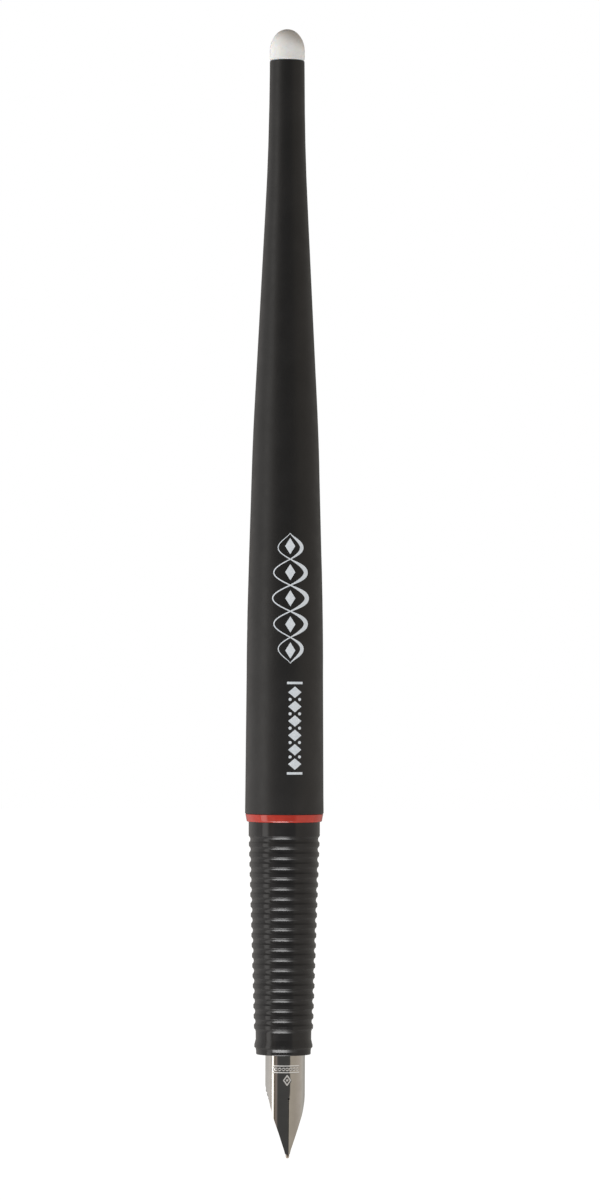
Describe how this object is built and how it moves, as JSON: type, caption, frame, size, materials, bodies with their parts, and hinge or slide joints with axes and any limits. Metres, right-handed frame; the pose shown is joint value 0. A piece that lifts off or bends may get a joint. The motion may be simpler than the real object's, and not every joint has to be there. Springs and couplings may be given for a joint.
{
  "type": "fountain pen",
  "caption": "Long tapering sketching pen, uncapped: ribbed grip, steel nib, red ring, domed tail, screw-off barrel over a twist converter.",
  "frame": {"origin": "on the pen's axis, level with the writing point", "axes": "+Z along the pen's axis from the writing point to the tail; -Y is the side that the nib's upper face looks to"},
  "size_m": [0.0132, 0.0132, 0.1897],
  "materials": {
    "barrel_black": "matt moulded plastic, very fine grain",
    "plug_translucent": "milky translucent plastic, smooth",
    "ring_red": "polished coloured plastic",
    "grip_black": "polished moulded plastic",
    "nib_steel": "polished stainless steel",
    "point_metal": "ground and polished hard alloy",
    "feed_black": "moulded plastic",
    "tube_clear": "clear polished plastic",
    "inner_white": "moulded plastic",
    "seal_rubber": "soft moulded rubber",
    "sleeve_chrome": "bright plated metal",
    "knob_black": "moulded plastic with finger flutes"
  },
  "bodies": {
    "grip": {"grip_section": "grip_black"},
    "ring": {"red_ring": "ring_red"},
    "barrel": {"barrel": "barrel_black", "tail_plug": "plug_translucent"},
    "nib_unit": {"nib": "nib_steel", "nib_point": "point_metal", "feed": "feed_black", "feed_core": "feed_black"},
    "converter": {"converter_tube": "tube_clear", "rod_guide": "inner_white", "converter_sleeve": "sleeve_chrome"},
    "knob": {"converter_knob": "knob_black", "drive_nut": "inner_white"},
    "piston": {"piston_rod": "inner_white", "piston_seal": "seal_rubber"}
  },
  "joints": [
    {"name": "barrel_turn", "type": "hinge", "parent": "grip", "child": "ring", "pos_m": [0, 0, 0.0573], "axis": [0, 0, 1], "range_deg": [0, 1800]},
    {"name": "barrel_lift", "type": "slide", "parent": "ring", "child": "barrel", "axis": [0, 0, 1], "range_m": [0, 0.00625]},
    {"name": "nib_unit_pull", "type": "slide", "parent": "grip", "child": "nib_unit", "axis": [0, 0, -1], "range_m": [0, 0.03]},
    {"name": "converter_pull", "type": "slide", "parent": "grip", "child": "converter", "axis": [0, 0, 1], "range_m": [0, 0.012]},
    {"name": "knob_turn", "type": "hinge", "parent": "converter", "child": "knob", "pos_m": [0, 0, 0.1], "axis": [0, 0, 1], "range_deg": [0, 2640]},
    {"name": "piston_travel", "type": "slide", "parent": "converter", "child": "piston", "axis": [0, 0, -1], "range_m": [0, 0.022]}
  ],
  "couplings": [
    {"joint": "barrel_turn", "follows": "barrel_lift", "rad_per_m": 5026.5},
    {"joint": "knob_turn", "follows": "piston_travel", "rad_per_m": 2094.4}
  ]
}
